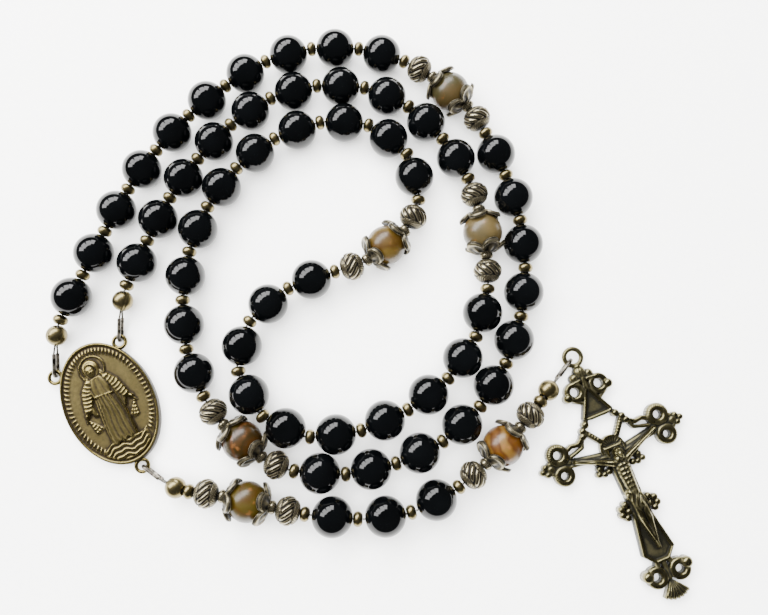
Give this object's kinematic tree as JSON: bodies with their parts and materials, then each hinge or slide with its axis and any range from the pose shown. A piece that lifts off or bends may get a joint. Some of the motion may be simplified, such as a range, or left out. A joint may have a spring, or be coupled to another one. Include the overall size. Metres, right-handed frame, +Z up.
{
  "type": "rosary",
  "caption": "Prayer bead loop with capped stone beads, an oval centre medal, a short pendant strand and a crucifix, laid in a flat spiral.",
  "frame": {"origin": "centre of the centre medal's flat back, on the surface that the rosary lies on", "axes": "+Z up from that surface, +X to the right of the spiral, +Y to its far side"},
  "size_m": [0.1278, 0.1164, 0.008],
  "materials": {
    "black_onyx": "polished",
    "jasper_grey": "polished",
    "jasper_banded": "polished",
    "jasper_orange": "polished",
    "jasper_cream": "polished",
    "jasper_amber": "polished",
    "antique_brass": "antiqued satin",
    "dark_bronze": "antiqued, dark recesses",
    "medal_bronze": "cast and antiqued",
    "crucifix_bronze": "cast and antiqued",
    "gunmetal_guard": "dark satin",
    "crimp_brass": "satin",
    "stringing_wire": "satin"
  },
  "bodies": {
    "loop": {"loop_station_wires": "stringing_wire", "loop_crimp_covers": "antique_brass", "loop_crimp_tubes": "crimp_brass", "loop_wire_guards": "gunmetal_guard", "loop_caps_1": "dark_bronze", "loop_fluted_1": "dark_bronze", "loop_caps_2": "dark_bronze", "loop_fluted_2": "dark_bronze", "loop_caps_3": "dark_bronze", "loop_fluted_3": "dark_bronze", "loop_caps_4": "dark_bronze", "loop_fluted_4": "dark_bronze"},
    "loop_jasper_1": {"loop_jasper_1": "jasper_grey"},
    "loop_jasper_2": {"loop_jasper_2": "jasper_banded"},
    "loop_jasper_3": {"loop_jasper_3": "jasper_orange"},
    "loop_jasper_4": {"loop_jasper_4": "jasper_grey"},
    "centre_medal": {"centre_medal": "medal_bronze"},
    "decade_1": {"decade_1_beads": "black_onyx", "decade_1_spacers": "antique_brass", "decade_1_wire": "stringing_wire"},
    "decade_2": {"decade_2_beads": "black_onyx", "decade_2_spacers": "antique_brass", "decade_2_wire": "stringing_wire"},
    "decade_3": {"decade_3_beads": "black_onyx", "decade_3_spacers": "antique_brass", "decade_3_wire": "stringing_wire"},
    "decade_4": {"decade_4_beads": "black_onyx", "decade_4_spacers": "antique_brass", "decade_4_wire": "stringing_wire"},
    "decade_5": {"decade_5_beads": "black_onyx", "decade_5_spacers": "antique_brass", "decade_5_wire": "stringing_wire"},
    "pendant_upper": {"pendant_upper_guard": "gunmetal_guard", "pendant_upper_cover": "antique_brass", "pendant_upper_crimp": "crimp_brass", "pendant_upper_wire": "stringing_wire", "pendant_upper_spacers": "antique_brass", "pendant_upper_fluted": "dark_bronze", "pendant_upper_caps": "dark_bronze"},
    "pendant_upper_jasper": {"pendant_upper_jasper": "jasper_cream"},
    "pendant_link_1": {"pendant_spacer_1": "antique_brass", "pendant_bead_wire_1": "stringing_wire"},
    "pendant_bead_1": {"pendant_bead_1": "black_onyx"},
    "pendant_link_2": {"pendant_spacer_2": "antique_brass", "pendant_bead_wire_2": "stringing_wire"},
    "pendant_bead_2": {"pendant_bead_2": "black_onyx"},
    "pendant_link_3": {"pendant_spacer_3": "antique_brass", "pendant_bead_wire_3": "stringing_wire"},
    "pendant_bead_3": {"pendant_bead_3": "black_onyx"},
    "pendant_lower": {"pendant_lower_fluted": "dark_bronze", "pendant_lower_caps": "dark_bronze", "pendant_lower_spacer": "antique_brass", "pendant_lower_wire": "stringing_wire", "pendant_lower_cover": "antique_brass", "pendant_lower_crimp": "crimp_brass", "pendant_lower_guard": "gunmetal_guard"},
    "pendant_lower_jasper": {"pendant_lower_jasper": "jasper_amber"},
    "crucifix": {"crucifix": "crucifix_bronze"}
  },
  "joints": [
    {"name": "medal_tilt", "type": "hinge", "parent": "loop", "child": "centre_medal", "pos_m": [-0.00497, 0.00994, 0.00135], "axis": [-0.8669, -0.4985, 0], "range_deg": [0, 10]},
    {"name": "decade_1_lift", "type": "hinge", "parent": "loop", "child": "decade_1", "pos_m": [-0.01057, 0.01519, 0.0037], "axis": [0.7821, 0.6231, 0.0033], "range_deg": [0, 12]},
    {"name": "decade_2_lift", "type": "hinge", "parent": "loop", "child": "decade_2", "pos_m": [0.07562, 0.05707, 0.004], "axis": [-0.4859, -0.874, 0], "range_deg": [0, 12]},
    {"name": "decade_3_lift", "type": "hinge", "parent": "loop", "child": "decade_3", "pos_m": [0.01997, 0.00006, 0.004], "axis": [0.7203, 0.6937, 0], "range_deg": [0, 12]},
    {"name": "decade_4_lift", "type": "hinge", "parent": "loop", "child": "decade_4", "pos_m": [0.04625, 0.02675, 0.004], "axis": [-0.995, 0.1003, 0], "range_deg": [0, 12]},
    {"name": "decade_5_lift", "type": "hinge", "parent": "loop", "child": "decade_5", "pos_m": [0.07292, 0.04485, 0.004], "axis": [0.954, 0.2999, 0.0031], "range_deg": [0, 12]},
    {"name": "loop_jasper_1_spin", "type": "hinge", "parent": "loop", "child": "loop_jasper_1", "pos_m": [0.06894, 0.06517, 0.004], "axis": [0.7513, -0.6599, 0], "continuous": true},
    {"name": "loop_jasper_2_spin", "type": "hinge", "parent": "loop", "child": "loop_jasper_2", "pos_m": [0.02722, -0.00754, 0.004], "axis": [-0.7727, 0.6347, 0], "continuous": true},
    {"name": "loop_jasper_3_spin", "type": "hinge", "parent": "loop", "child": "loop_jasper_3", "pos_m": [0.05541, 0.03186, 0.004], "axis": [-0.7825, -0.6227, 0], "continuous": true},
    {"name": "loop_jasper_4_spin", "type": "hinge", "parent": "loop", "child": "loop_jasper_4", "pos_m": [0.07517, 0.0346, 0.004], "axis": [-0.1405, 0.9901, 0], "continuous": true},
    {"name": "pendant_swing", "type": "hinge", "parent": "centre_medal", "child": "pendant_upper", "pos_m": [0.00711, -0.01232, 0.00135], "axis": [0, 0, 1], "range_deg": [-70, 0]},
    {"name": "pendant_upper_jasper_spin", "type": "hinge", "parent": "pendant_upper", "child": "pendant_upper_jasper", "pos_m": [0.02852, -0.01914, 0.004], "axis": [0.9775, -0.211, 0], "continuous": true},
    {"name": "pendant_bead_1_swing", "type": "hinge", "parent": "pendant_upper", "child": "pendant_link_1", "pos_m": [0.04064, -0.0216, 0.004], "axis": [0, 0, 1], "range_deg": [-25, 0]},
    {"name": "pendant_bead_1_spin", "type": "hinge", "parent": "pendant_link_1", "child": "pendant_bead_1", "pos_m": [0.04499, -0.02199, 0.004], "axis": [0.996, -0.0897, 0], "continuous": true},
    {"name": "pendant_bead_2_swing", "type": "hinge", "parent": "pendant_link_1", "child": "pendant_link_2", "pos_m": [0.05089, -0.02243, 0.004], "axis": [0, 0, 1], "range_deg": [-25, 0]},
    {"name": "pendant_bead_2_spin", "type": "hinge", "parent": "pendant_link_2", "child": "pendant_bead_2", "pos_m": [0.0553, -0.02189, 0.004], "axis": [0.9926, 0.1212, 0], "continuous": true},
    {"name": "pendant_bead_3_swing", "type": "hinge", "parent": "pendant_link_2", "child": "pendant_link_3", "pos_m": [0.06118, -0.02081, 0.004], "axis": [0, 0, 1], "range_deg": [-25, 0]},
    {"name": "pendant_bead_3_spin", "type": "hinge", "parent": "pendant_link_3", "child": "pendant_bead_3", "pos_m": [0.06513, -0.01879, 0.004], "axis": [0.8907, 0.4546, 0], "continuous": true},
    {"name": "pendant_lower_swing", "type": "hinge", "parent": "pendant_link_3", "child": "pendant_lower", "pos_m": [0.07029, -0.01577, 0.004], "axis": [0, 0, 1], "range_deg": [-25, 0]},
    {"name": "pendant_lower_jasper_spin", "type": "hinge", "parent": "pendant_lower", "child": "pendant_lower_jasper", "pos_m": [0.07829, -0.00844, 0.004], "axis": [0.7017, 0.7125, 0], "continuous": true},
    {"name": "crucifix_swing", "type": "hinge", "parent": "pendant_lower", "child": "crucifix", "pos_m": [0.0932, 0.00917, 0.00145], "axis": [0, 0, 1], "range_deg": [-8, 105]}
  ]
}
